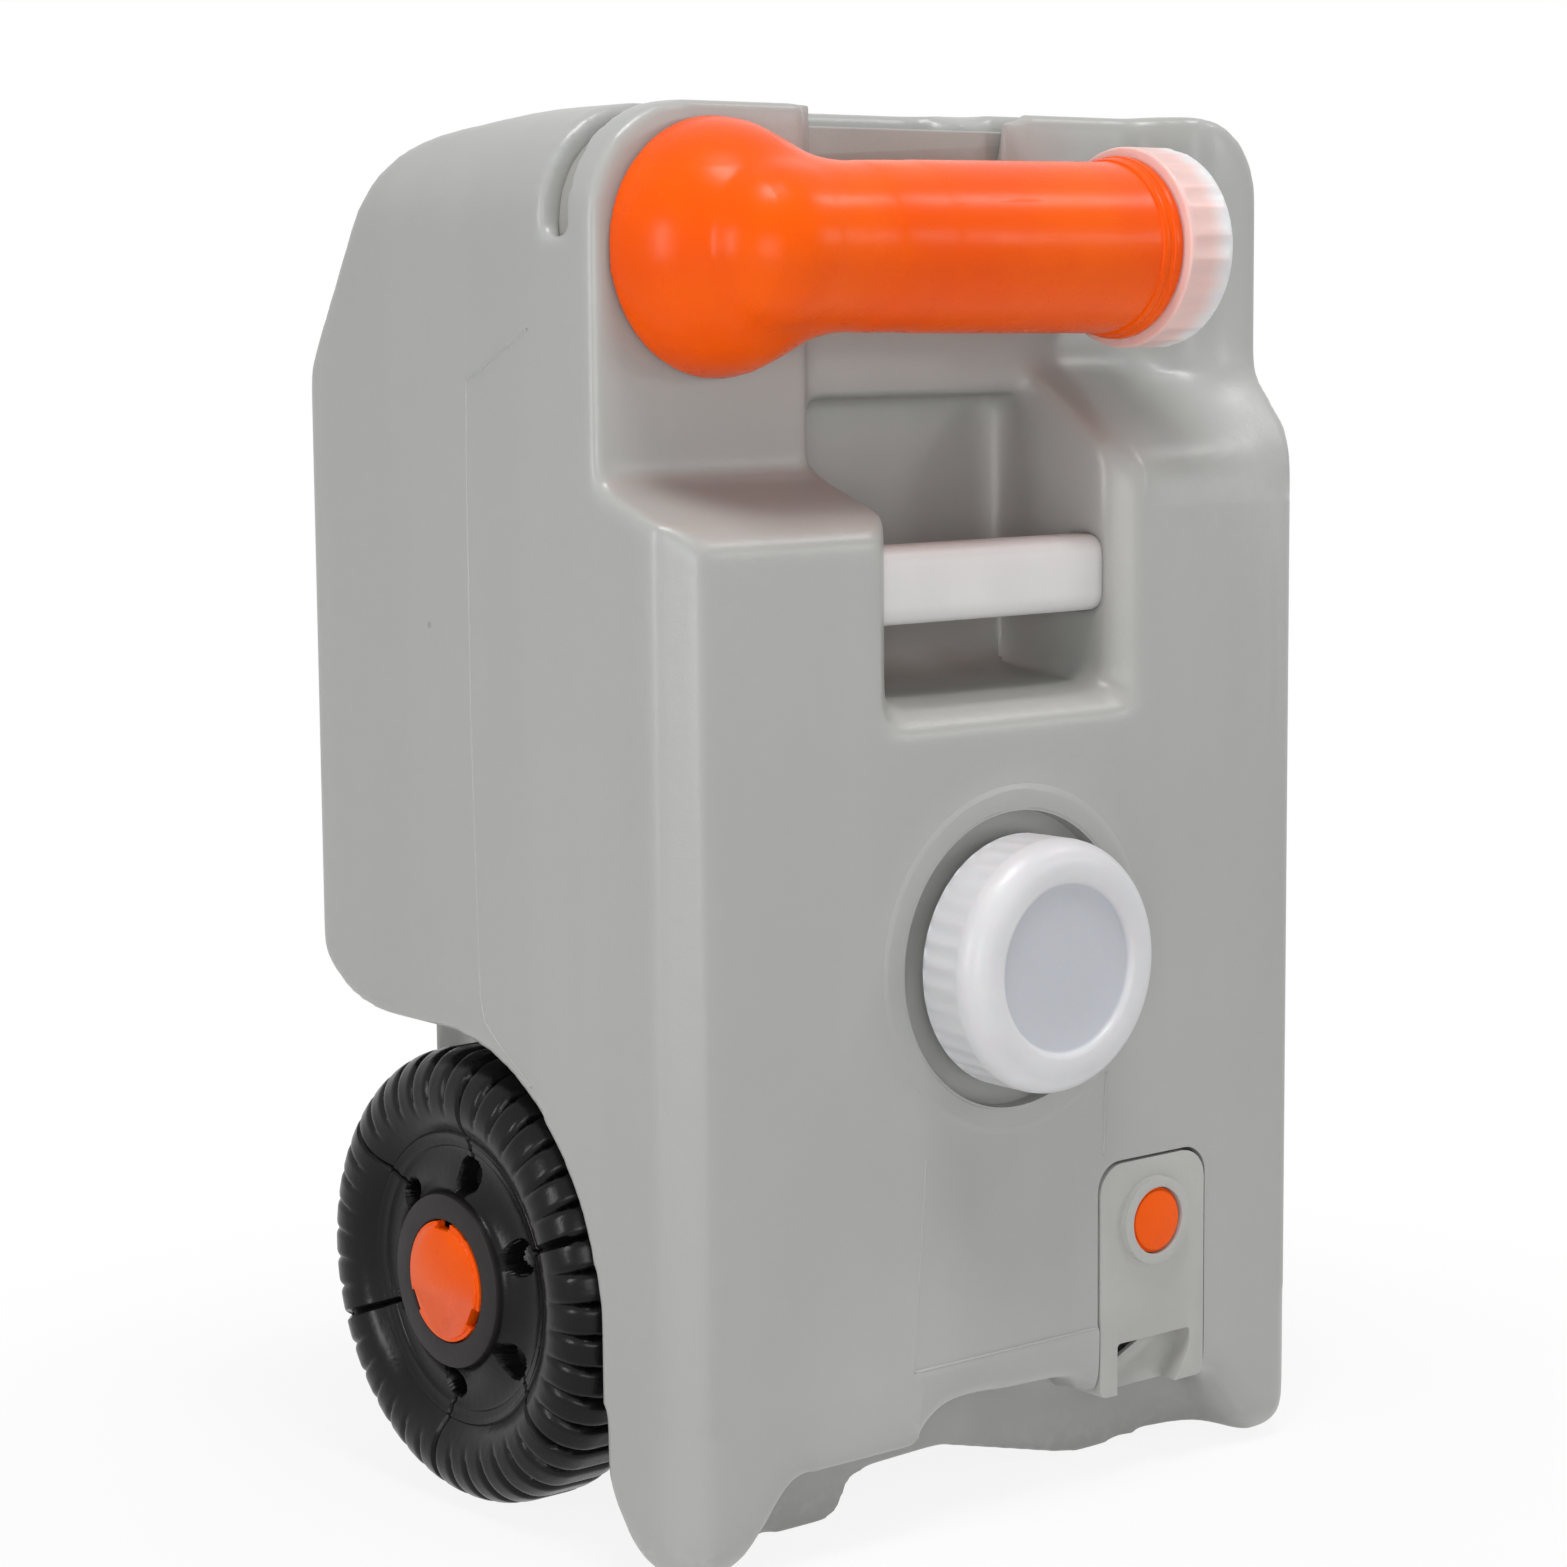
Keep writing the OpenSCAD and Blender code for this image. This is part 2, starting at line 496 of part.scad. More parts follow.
// Cross grooves, deepest on the crown and fading out on the shoulders
groove_w = 2;
groove_d = 3;
module tread() difference() {
    for (i = [0 : tyre_grooves - 1]) rotate_hub(9 + 360 * i / tyre_grooves)
        translate([hub_face - wheel_w - 10, axle_y - groove_w / 2, wheel_r * 2 - 17])
            cube([wheel_w + 20, groove_w, 30]);
    at_hub(hub_face - wheel_w / 2) rotate_extrude() {
        translate([wheel_r - 42, 20 - wheel_w / 2]) square([42 - groove_d, wheel_w - 40]);
        for (s = [-1, 1]) translate([wheel_r - 20 - groove_d, s * (wheel_w / 2 - 20)]) circle(r = 20);
    }
}
module rotate_hub(a)
    translate([0, axle_y, wheel_r]) rotate([a, 0, 0]) translate([0, -axle_y, -wheel_r]) children();
module wheel_bush() at_hub(hub_back - 0.5) difference() {
    cylinder(r = bush_r - 0.05, h = hub_face - 12 - hub_back);
    translate([0, 0, -1]) cylinder(r = axle_r + 0.3, h = 90);
}
module hub_cap() difference() {
    at_hub(hub_face - 4) union() {
        cylinder(r = 26.3, h = 4.4);
        cylinder(r = 24.6, h = 5.4);
    }
    at_hub(hub_face - 5) cylinder(r = 22, h = 4);
    for (i = [0 : 2]) rotate_hub(120 * i)
        translate([hub_face - 2, axle_y - 5, wheel_r + 22.8]) cube([10, 10, 10]);
}
module axle_washer() at_hub(hub_back - 3.2) difference() {
    cylinder(r = 16, h = 2.2);
    translate([0, 0, -1]) cylinder(r = axle_r + 0.3, h = 10);
}
module axle_nut() at_hub(hub_face - 12 + 0.3) difference() {
    union() {
        cylinder(r = 13, h = 1.6);
        cylinder(r = axle_r + 2.2, h = 4.4);
    }
    translate([0, 0, -1]) cylinder(r = axle_r, h = 10);
}
module axle() color("#9a9ca0") bar_x(axle_y, wheel_r, axle_r, -hub_face + 6.8, hub_face - 6.8);
module wheel_right() color("#1e1e20") wheel();
module wheel_left() color("#1e1e20") mirror([1, 0, 0]) wheel();
module wheel_bush_right() color("#c9cac6") wheel_bush();
module wheel_bush_left() color("#c9cac6") mirror([1, 0, 0]) wheel_bush();
module hub_cap_right() color("#f25a14") hub_cap();
module hub_cap_left() color("#f25a14") mirror([1, 0, 0]) hub_cap();
module axle_washer_right() color("#9a9ca0") axle_washer();
module axle_washer_left() color("#9a9ca0") mirror([1, 0, 0]) axle_washer();
module axle_nut_right() color("#9a9ca0") axle_nut();
module axle_nut_left() color("#9a9ca0") mirror([1, 0, 0]) axle_nut();

// Pull handle: a U-shaped bar whose arms run in the tank's channels
arm_in = arm_sink + arm_w;
handle_outline = [[arm_sink - half_w, arm_floor, 0], [arm_in - half_w, arm_floor, 0],
    [arm_in - half_w, tank_h - arm_in, 22], [half_w - arm_in, tank_h - arm_in, 22],
    [half_w - arm_in, arm_floor, 0], [half_w - arm_sink, arm_floor, 0],
    [half_w - arm_sink, tank_h - arm_sink, 40], [arm_sink - half_w, tank_h - arm_sink, 40]];
shoe_h = 22;
module pull_handle() color("#7d7e7a") difference() {
    along_y(handle_outline, groove_y - arm_t / 2, groove_y + arm_t / 2, 10);
    both_sides() translate([arm_x - arm_w / 2 - 1, groove_y - arm_t / 2 - 1, arm_floor - 1]) difference() {
        cube([arm_w + 2, arm_t + 2, shoe_h + 1]);
        translate([3, 3, -1]) cube([arm_w - 4, arm_t - 4, shoe_h + 4]);
    }
}
module handle_shoe() translate([arm_x, groove_y, arm_floor - 3]) difference() {
    translate([-way_w / 2 + shoe_gap, -way_t / 2 + shoe_gap, 0])
        cube([way_w - 2 * shoe_gap, way_t - 2 * shoe_gap, shoe_h + 2.9]);
    translate([-arm_w / 2 + 1.9, -arm_t / 2 + 1.9, 2.9]) cube([arm_w - 3.8, arm_t - 3.8, shoe_h + 10]);
}
module handle_collar() translate([arm_x, groove_y, groove_z - 22]) difference() {
    translate([-way_w / 2 + 0.05, -way_t / 2 + 0.05, 0]) cube([way_w - 0.1, way_t - 0.1, 18]);
    translate([-arm_w / 2 - 0.3, -arm_t / 2 - 0.3, -1]) cube([arm_w + 0.6, arm_t + 0.6, 30]);
}
module handle_shoe_right() color("#c9cac6") handle_shoe();
module handle_shoe_left() color("#c9cac6") mirror([1, 0, 0]) handle_shoe();
module handle_collar_right() color("#46474a") handle_collar();
module handle_collar_left() color("#46474a") mirror([1, 0, 0]) handle_collar();

tank();
grip_bar();
spout();
spout_seal();
spout_retainer();
spout_cap();
spout_cap_seal();
filler_cap();
filler_cap_seal();
vent_cover();
vent_button();
vent_bush();
vent_valve();
vent_seal();
vent_spring();
axle();
wheel_left();
wheel_right();
wheel_bush_left();
wheel_bush_right();
hub_cap_left();
hub_cap_right();
axle_washer_left();
axle_washer_right();
axle_nut_left();
axle_nut_right();
pull_handle();
handle_shoe_left();
handle_shoe_right();
handle_collar_left();
handle_collar_right();
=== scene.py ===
# %% [markdown]
# # A wheeled water bowser
# This lesson dresses a CAD model of a water tank on wheels: a blow-moulded grey tank, an orange swivel
# spout, two milky screw caps, a vent with a push button, and two black wheels. The CAD solids are the
# fixed frame. Each piece below is either a CAD solid with a better finish, or a new mesh that takes the
# solid's place.

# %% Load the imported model
import math
import bpy
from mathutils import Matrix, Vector


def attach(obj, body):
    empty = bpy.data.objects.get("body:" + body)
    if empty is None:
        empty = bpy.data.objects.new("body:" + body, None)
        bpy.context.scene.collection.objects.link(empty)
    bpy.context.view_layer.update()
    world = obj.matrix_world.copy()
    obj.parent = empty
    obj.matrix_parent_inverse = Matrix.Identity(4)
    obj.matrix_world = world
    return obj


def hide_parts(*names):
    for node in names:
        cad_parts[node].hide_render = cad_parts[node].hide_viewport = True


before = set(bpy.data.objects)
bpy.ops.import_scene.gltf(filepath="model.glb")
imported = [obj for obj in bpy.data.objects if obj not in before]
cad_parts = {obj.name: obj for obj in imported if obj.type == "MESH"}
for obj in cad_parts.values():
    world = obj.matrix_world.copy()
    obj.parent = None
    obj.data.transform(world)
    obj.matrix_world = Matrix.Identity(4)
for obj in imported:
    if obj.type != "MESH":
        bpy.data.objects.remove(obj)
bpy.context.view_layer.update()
MM = 0.001

# %% [markdown]
# Several pieces share a place. These places are written once, in millimetres, as the CAD model has them.
# X runs to the right as seen from the front, Y runs to the back, and Z runs up from the ground.

# %% Shared places
FRONT, HALF_WIDTH = -118, 181.5
FILLER_Z = 242.1
SPOUT_X, PIPE_Y, PIPE_Z = -122, -105.5, 541
VENT_X = 82
AXLE_Y, AXLE_Z = 50, 100
BACK_ROUND_Y, BACK_ROUND_Z, BACK_ROUND_R = 96, 272, 60
print("the axle is", AXLE_Z, "mm above the ground")

# %% [markdown]
# Operators act on whatever is selected, so the first helpers choose one piece and nothing else, and
# choose points of a mesh by their place. They stand in for the clicks that a modeller would make.

# %% Helpers that select
def only(*pieces):
    """Selects these pieces and nothing else, the first of them active, in object mode."""
    if bpy.context.mode != "OBJECT":
        bpy.ops.object.mode_set(mode="OBJECT")
    bpy.ops.object.select_all(action="DESELECT")
    for piece in pieces:
        piece.select_set(True)
    bpy.context.view_layer.objects.active = pieces[0]


def pick(piece, test):
    """Selects the points of a piece whose place in millimetres passes a test, and stays in edit mode."""
    only(piece)
    bpy.ops.object.mode_set(mode="EDIT")
    bpy.ops.mesh.select_mode(type="VERT")
    bpy.ops.mesh.select_all(action="DESELECT")
    bpy.ops.object.mode_set(mode="OBJECT")
    chosen = [bool(test(point.co.x / MM, point.co.y / MM, point.co.z / MM)) for point in piece.data.vertices]
    piece.data.vertices.foreach_set("select", chosen)
    bpy.ops.object.mode_set(mode="EDIT")
    return sum(chosen)


def done():
    """Back to object mode."""
    bpy.ops.object.mode_set(mode="OBJECT")


def apply(piece, kind, **settings):
    """Adds a modifier with its settings and applies it."""
    only(piece)
    modifier = piece.modifiers.new(kind.lower(), kind)
    for name, value in settings.items():
        setattr(modifier, name, value)
    bpy.ops.object.modifier_apply(modifier=modifier.name)


def settle(piece, angle=40):
    """Puts a piece's place into its mesh, merges doubles, turns its faces out and smooths its shading."""
    only(piece)
    bpy.ops.object.transform_apply(location=True, rotation=True, scale=True)
    bpy.ops.object.mode_set(mode="EDIT")
    bpy.ops.mesh.select_all(action="SELECT")
    bpy.ops.mesh.remove_doubles(threshold=0.02 * MM)
    bpy.ops.mesh.normals_make_consistent(inside=False)
    done()
    bpy.ops.object.shade_smooth_by_angle(angle=math.radians(angle))


print("helpers ready")

# %% [markdown]
# The camera was fitted to the photograph by matching corners of the tank, the caps and the wheel. It
# stands to the left of the front, a little above the middle, and has a long lens, so uprights stay nearly
# parallel.

# %% Camera
SENSOR_MM, PHOTO_PIXELS, FOCAL_PIXELS = 36, 1567, 3750.3
ROLL = math.radians(-0.47)
eye = Vector((-1.0710, -1.2674, 0.5160))
aim = Vector((-0.01407, 0.019, 0.30555))
bpy.ops.object.camera_add(location=eye)
camera = bpy.context.object
camera.rotation_euler = (aim - eye).to_track_quat("-Z", "Y").to_euler()
camera.rotation_euler.rotate_axis("Z", ROLL)
camera.data.sensor_width = SENSOR_MM
camera.data.lens = SENSOR_MM * FOCAL_PIXELS / PHOTO_PIXELS
bpy.context.scene.camera = camera
print("camera lens", round(camera.data.lens, 2), "mm")

# %% [markdown]
# Shader graphs grow long when every Math node is placed by hand. A small class wraps a socket so that
# plain Python arithmetic adds the nodes, and one method makes any other node from its type, settings and
# inputs.

# %% Shader arithmetic
class Value:
    """A socket of a shader, on which arithmetic adds Math nodes."""

    def __init__(self, finish, socket):
        self.finish, self.socket = finish, socket

    def maths(self, operation, first, second):
        return self.finish.node("ShaderNodeMath", {"operation": operation}, {0: first, 1: second})

    def __add__(self, other):
        return self.maths("ADD", self, other)

    def __sub__(self, other):
        return self.maths("SUBTRACT", self, other)

    def __rsub__(self, other):
        return self.maths("SUBTRACT", other, self)

    def __mul__(self, other):
        return self.maths("MULTIPLY", self, other)

    __radd__, __rmul__ = __add__, __mul__


class Finish:
    """A material in the making, with its shader and the place on the object that patterns read."""

    def __init__(self, name, **constants):
        self.material = bpy.data.materials.new(name)
        self.material.use_nodes = True
        self.tree = self.material.node_tree
        self.shader = self.tree.nodes["Principled BSDF"]
        for socket, value in constants.items():
            self.shader.inputs[socket.replace("_", " ")].default_value = value
        self.place = self.node("ShaderNodeTexCoord", {}, {}, "Object")

    def node(self, kind, settings, inputs, output=0):
        """Adds a node, sets it, fills its sockets with numbers or links, and returns one output."""
        node = self.tree.nodes.new(kind)
        for name, value in settings.items():
            setattr(node, name, value)
        for socket, value in inputs.items():
            self.feed(node.inputs[socket], value)
        return Value(self, node.outputs[output])

    def feed(self, socket, value):
        """Links a value to a socket, or sets a plain number or colour on it."""
        if isinstance(value, Value):
            self.tree.links.new(value.socket, socket)
        else:
            socket.default_value = value

    def set(self, **values):
        """Feeds sockets of the shader that change over the surface."""
        for socket, value in values.items():
            self.feed(self.shader.inputs[socket.replace("_", " ")], value)

    def noise(self, scale, detail=3.0, stretch=(1, 1, 1)):
        """Noise from 0 to 1, scale in grains per metre, stretched along an axis by a small number."""
        place = self.node("ShaderNodeMapping", {}, {"Vector": self.place, "Scale": stretch})
        return self.node("ShaderNodeTexNoise", {}, {"Vector": place, "Scale": scale, "Detail": detail})

    def band(self, value, low, high):
        """Goes from 0 at low to 1 at high, and stays there."""
        return self.node("ShaderNodeMapRange", {"interpolation_type": "SMOOTHSTEP"},
                         {"Value": value, "From Min": low, "From Max": high})

    def axis(self, letter):
        """One coordinate of the place, in metres."""
        return self.node("ShaderNodeSeparateXYZ", {}, {0: self.place}, letter)

    def blend(self, share, first, second):
        """Mixes two colours."""
        return self.node("ShaderNodeMix", {"data_type": "RGBA"}, {"Factor": share, 6: first, 7: second}, 2)

    def bump(self, height, distance):
        """Feeds a height to the shader's normal, distance in metres."""
        self.set(Normal=self.node("ShaderNodeBump", {}, {"Height": height, "Distance": distance}))

    def from_axis(self, across, at, along, above):
        """Distance in metres from an axis that crosses two coordinates at places in millimetres."""
        across, along = self.axis(across) - at * MM, self.axis(along) - above * MM
        return self.node("ShaderNodeMath", {"operation": "SQRT"}, {0: across * across + along * along})


def srgb(red, green, blue):
    """A colour read off a screen, as the linear colour that shaders use."""
    def linear(c):
        return c / 255 / 12.92 if c < 11 else ((c / 255 + 0.055) / 1.055) ** 2.4
    return (linear(red), linear(green), linear(blue), 1)


print("body grey", [round(c, 3) for c in srgb(165, 166, 163)])

# %% [markdown]
# A product photograph has a seamless white ground and large soft lamps. The floor and world show as white
# only to the camera and in mirror reflections, so the lamps can stay at a plain level that shows colours
# as written. Close to the object a share of the floor stays lit by the lamps, so that its shadow shows.

# %% Floor, world and lamps
bpy.ops.object.select_all(action="DESELECT")
bpy.ops.mesh.primitive_plane_add(size=40, location=(0, 0, -0.0005))
floor = bpy.context.object
floor.name = "studio_floor"
bpy.ops.object.transform_apply(location=True)
ground = Finish("studio_white", Base_Color=(0.85, 0.85, 0.85, 1), Roughness=0.9, Specular_IOR_Level=0.1)
glow = ground.node("ShaderNodeEmission", {}, {"Color": (1, 1, 1, 1), "Strength": 1.0})
WHITE_RAYS = ("Is Camera Ray", "Is Glossy Ray", "Is Transmission Ray")
camera_ray, glossy_ray, clear_ray = (ground.node("ShaderNodeLightPath", {}, {}, kind) for kind in WHITE_RAYS)
away = ground.node("ShaderNodeVectorMath", {"operation": "LENGTH"}, {0: ground.place}, "Value")
NEAR_SHARE, SHADOW_START, SHADOW_END = 0.88, 0.22, 0.6
share = NEAR_SHARE + (1 - NEAR_SHARE) * ground.band(away, SHADOW_START, SHADOW_END)
lit = Value(ground, ground.shader.outputs[0])
white_share = (camera_ray + glossy_ray + clear_ray) * share
seen = ground.node("ShaderNodeMixShader", {}, {0: white_share, 1: lit, 2: glow})
ground.feed(ground.tree.nodes["Material Output"].inputs["Surface"], seen)
floor.data.materials.append(ground.material)

world = bpy.data.worlds.new("studio")
bpy.context.scene.world = world
world.use_nodes = True
sky = world.node_tree
back = sky.nodes["Background"]
path = sky.nodes.new("ShaderNodeLightPath")
seen = path.outputs[WHITE_RAYS[0]]
for kind in WHITE_RAYS[1:]:
    either = sky.nodes.new("ShaderNodeMath")
    either.operation = "MAXIMUM"
    sky.links.new(seen, either.inputs[0])
    sky.links.new(path.outputs[kind], either.inputs[1])
    seen = either.outputs[0]
level = sky.nodes.new("ShaderNodeMapRange")
SKY_LIGHT, SKY_WHITE = 0.3, 1.0
level.inputs["To Min"].default_value = SKY_LIGHT
level.inputs["To Max"].default_value = SKY_WHITE
sky.links.new(seen, level.inputs["Value"])
sky.links.new(level.outputs[0], back.inputs["Strength"])
back.inputs["Color"].default_value = (1, 1, 1, 1)


def lamp(name, at, size, power, towards=(0, 0, 0.3)):
    """A soft lamp of a width and height in metres that faces a point."""
    bpy.ops.object.light_add(type="AREA", location=at)
    light = bpy.context.object
    light.name = name
    light.rotation_euler = (Vector(towards) - Vector(at)).to_track_quat("-Z", "Y").to_euler()
    light.data.shape = "RECTANGLE"
    light.data.size, light.data.size_y = size
    light.data.energy = power


lamp("left_strip", (-2.4, -0.15, 0.75), (0.25, 1.0), 14)
lamp("fill", (-1.3, -1.6, 0.5), (0.7, 0.7), 7.5)
lamp("right_front", (1.5, -1.85, 0.9), (0.35, 0.35), 4)
lamp("bounce", (-0.75, -1.25, 0.03), (1.8, 0.9), 2.5, (0.1, 0, 0.5))
lamp("top", (-0.3, -0.6, 2.3), (0.7, 0.6), 24)
lamp("right", (1.5, -0.9, 2.1), (0.4, 0.4), 7)
bpy.context.scene.view_settings.view_transform = "Standard"

# %% [markdown]
# The tank is blow-moulded polyethylene: a satin grey with a faint orange-peel, soft vertical flow
# streaks, a few dark specks, and lighter scuffs where it stands on the ground. All of it is noise in
# object coordinates.

# %% Grey tank finish
grey = Finish("tank_grey", Roughness=0.36, Specular_IOR_Level=0.5)
streak = grey.band(grey.noise(26, 2, (1, 1, 0.06)), 0.35, 0.7)
cloud = grey.band(grey.noise(5, 3), 0.3, 0.7)
cells = grey.node("ShaderNodeTexVoronoi", {}, {"Vector": grey.place, "Scale": 15.0}, "Distance")
speck = 1 - grey.band(cells, 0.012, 0.03)
rare = grey.band(grey.noise(4.3, 1), 0.54, 0.58)
scuff = (1 - grey.band(grey.axis("Z"), 0.0, 0.03)) * grey.band(grey.noise(160, 4), 0.45, 0.7)
tone = grey.blend(streak * 0.35 + cloud * 0.4, srgb(163, 164, 161), srgb(169, 170, 167))
tone = grey.blend(speck * rare * 0.6, tone, srgb(112, 110, 104))
grey.set(Base_Color=grey.blend(scuff * 0.4, tone, srgb(186, 187, 184)))
grey.set(Roughness=0.29 + 0.1 * grey.noise(60, 3) + 0.1 * scuff)
grey.bump(grey.noise(150, 1) * 0.5 + grey.noise(900, 2) * 0.35 + streak * 0.25, 0.00022)
print("grey finish:", len(grey.tree.nodes), "nodes")

# %% [markdown]
# The spout and small orange parts are injection-moulded and a little glossier. Colour drifts slightly
# along the flow of the plastic, and the surface has hair-fine scratches that break the highlight.

# %% Orange finish
orange = Finish("spout_orange", Roughness=0.3, Specular_IOR_Level=0.14)
drift = orange.band(orange.noise(18, 3), 0.3, 0.7)
hair = orange.band(orange.noise(700, 2, (0.05, 1, 1)), 0.62, 0.7)
orange.set(Base_Color=orange.blend(drift, srgb(237, 82, 0), srgb(244, 92, 0)))
orange.set(Roughness=0.24 + 0.08 * orange.noise(90, 3) + 0.08 * hair)
orange.bump(orange.noise(240, 2), 0.00003)
print("orange finish:", len(orange.tree.nodes), "nodes")

# %% [markdown]
# The caps are natural polyethylene, milky rather than white: light enters, spreads and leaves again. A
# constant share of subsurface scattering gives that glow. The orange thread shines through the spout
# cap's inner end, and the filler cap's sunk disc is a cooler, bluish tint.

# %% Milky cap finishes
MILKY = {"Roughness": 0.34, "Subsurface_Scale": 0.006, "Specular_IOR_Level": 0.45}
DISC_EDGE = 0.0352, 0.0362
THREAD_END = 0.084, 0.098
milk = Finish("cap_milk", Subsurface_Weight=0.35, **MILKY)
haze = milk.band(milk.noise(22, 3), 0.3, 0.75)
shell = milk.blend(haze, srgb(222, 222, 224), srgb(230, 230, 231))
thread = (1 - milk.band(milk.axis("X"), *THREAD_END)) * 0.75
milk.set(Base_Color=milk.blend(thread, shell, srgb(228, 178, 168)))
milk.set(Roughness=0.3 + 0.12 * milk.noise(120, 3))
milk.bump(milk.noise(420, 2), 0.00010)

disc = Finish("filler_milk", Subsurface_Weight=0.2, **MILKY)
inside = 1 - disc.band(disc.from_axis("X", 0, "Z", FILLER_Z), *DISC_EDGE)
haze = disc.band(disc.noise(22, 3), 0.3, 0.75)
skirt = disc.blend(haze, srgb(205, 205, 208), srgb(214, 214, 216))
disc.set(Base_Color=disc.blend(inside, skirt, srgb(187, 188, 195)))
disc.set(Roughness=0.3 + 0.12 * disc.noise(120, 3) + 0.1 * inside)
disc.bump(disc.noise(420, 2), 0.00010)
print("milky finishes ready")

# %% [markdown]
# The wheels are glossy black mouldings with a little dust caught in them, and the hub ring is matter. The
# grip bar, vent cover and handle are satin plastics; seals are matt rubber and the axle is zinc-plated
# steel.

# %% Black, satin, rubber and steel finishes
def plastic(name, light, dark, rough, grain=300, depth=0.00012):
    """A satin plastic with a gentle drift of colour and a fine moulded grain."""
    finish = Finish(name, Roughness=rough, Specular_IOR_Level=0.45)
    drift = finish.band(finish.noise(20, 3), 0.3, 0.7)
    finish.set(Base_Color=finish.blend(drift, dark, light))
    finish.set(Roughness=rough - 0.05 + 0.1 * finish.noise(110, 3))
    finish.bump(finish.noise(grain, 2), depth)
    return finish


black = Finish("wheel_black", Roughness=0.24, Specular_IOR_Level=0.2)
dust = black.band(black.noise(34, 4), 0.5, 0.8)
HUB_EDGE = 0.0378, 0.0386
hub = 1 - black.band(black.from_axis("Y", AXLE_Y, "Z", AXLE_Z), *HUB_EDGE)
tyre = black.blend(dust * 0.5, srgb(12, 12, 13), srgb(30, 29, 29))
black.set(Base_Color=black.blend(hub, tyre, srgb(40, 36, 37)))
black.set(Roughness=0.2 + 0.12 * black.noise(70, 3) + 0.1 * dust + 0.25 * hub)
black.bump(black.noise(260, 2), 0.00014)
bar_white = plastic("bar_white", srgb(220, 218, 217), srgb(213, 211, 210), 0.4)
cover_grey = plastic("cover_grey", srgb(176, 176, 173), srgb(170, 170, 167), 0.42, 500)
handle_grey = plastic("handle_grey", srgb(158, 157, 153), srgb(150, 149, 145), 0.45)
guide_white = plastic("guide_white", srgb(205, 206, 202), srgb(196, 197, 193), 0.45)
guide_dark = plastic("guide_dark", srgb(72, 73, 76), srgb(64, 65, 68), 0.5)
seal_black = plastic("seal_black", srgb(40, 40, 42), srgb(32, 32, 34), 0.7, 700, 0.0002)
steel = Finish("zinc_steel", Metallic=1.0, Roughness=0.34)
brushed = steel.noise(420, 3, (0.05, 1, 1))
steel.set(Base_Color=steel.blend(brushed, srgb(186, 188, 190), srgb(208, 209, 210)))
steel.set(Roughness=0.26 + 0.2 * brushed)
steel.bump(brushed, 0.00005)
print("finishes", len(bpy.data.materials))

# %% [markdown]
# A finished piece gets its material, the body that it rides on and the CAD solid that it stands for. One
# helper does all three, so no piece is forgotten.

# %% Helper that hands a piece over
def dress(piece, finish, body, slot, *nodes):
    """Gives a piece its finish and body, and says which CAD solids it replaces."""
    piece.data.materials.clear()
    piece.data.materials.append(finish.material)
    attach(piece, body)
    if nodes:
        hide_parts(*nodes)
    piece.data.calc_loop_triangles()
    print(piece.name, len(piece.data.loop_triangles), "triangles")


def cad_copy(node, name):
    """A copy of a CAD solid's mesh with its loose triangles merged."""
    piece = bpy.data.objects.new(name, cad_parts[node].data.copy())
    bpy.context.scene.collection.objects.link(piece)
    only(piece)
    bpy.ops.object.mode_set(mode="EDIT")
    bpy.ops.mesh.select_all(action="SELECT")
    bpy.ops.mesh.remove_doubles(threshold=0.002 * MM)
    done()
    return piece


def soften(node, name, width):
    """A copy of a CAD solid whose sharp edges are rounded by a bevel of a width in millimetres."""
    piece = cad_copy(node, name)
    bpy.ops.object.mode_set(mode="EDIT")
    bpy.ops.mesh.select_all(action="SELECT")
    bpy.ops.mesh.dissolve_limited(angle_limit=math.radians(2))
    done()
    apply(piece, "BEVEL", width=width * MM, segments=3, limit_method="ANGLE", angle_limit=math.radians(35))
    settle(piece)
    return piece


def drum(middle, radius, length, turn):
    """A round plug or tool, its axis turned from Z."""
    bpy.ops.object.select_all(action="DESELECT")
    bpy.ops.mesh.primitive_cylinder_add(vertices=96, radius=radius * MM, depth=length * MM,
                                        location=Vector(middle) * MM, rotation=turn)
    return bpy.context.object


def block(middle, size):
    """A square plug or tool."""
    bpy.ops.object.select_all(action="DESELECT")
    bpy.ops.mesh.primitive_cube_add(size=1, location=Vector(middle) * MM)
    bpy.context.object.scale = Vector(size) * MM
    return bpy.context.object


def cut(piece, tool, solver="EXACT"):
    """Takes a tool's shape out of a piece and removes the tool."""
    apply(piece, "BOOLEAN", operation="DIFFERENCE", solver=solver, object=tool)
    bpy.data.objects.remove(tool)


def smooth(piece, passes, test):
    """Smooths the points of a piece whose place passes a test."""
    pick(piece, test)
    bpy.ops.mesh.vertices_smooth(factor=0.5, repeat=passes)


ALONG_X, ALONG_Y = (0, math.pi / 2, 0), (math.pi / 2, 0, 0)
HALF_SQUARE = math.radians(45)
print("modelling helpers ready")

# %% [markdown]
# The tank has the soft edges of blow moulding, where no two edges have the same rounding. The CAD solid
# has the right planes with crisp edges. A voxel remesh turns it into an even skin, and smoothing rounds
# every edge at once, as the plastic does against the mould. Openings are plugged first, and so are the
# hollow back corners by the wheels, which the next step cuts into.

# %% Tank: plug and remesh
VOXEL = 2.5 * MM
BACK_LEAN = math.radians(-14.7)
tank = cad_copy("tank", "tank_skin")
plugs = [drum((0, FRONT + 7, FILLER_Z), 70, 14, ALONG_Y),
         drum((SPOUT_X, FRONT + 55, PIPE_Z), 42, 10, ALONG_Y),
         block((VENT_X, FRONT + 15, 94), (72, 30, 108)),
         drum((0, AXLE_Y, AXLE_Z), 10, 200, ALONG_X)]
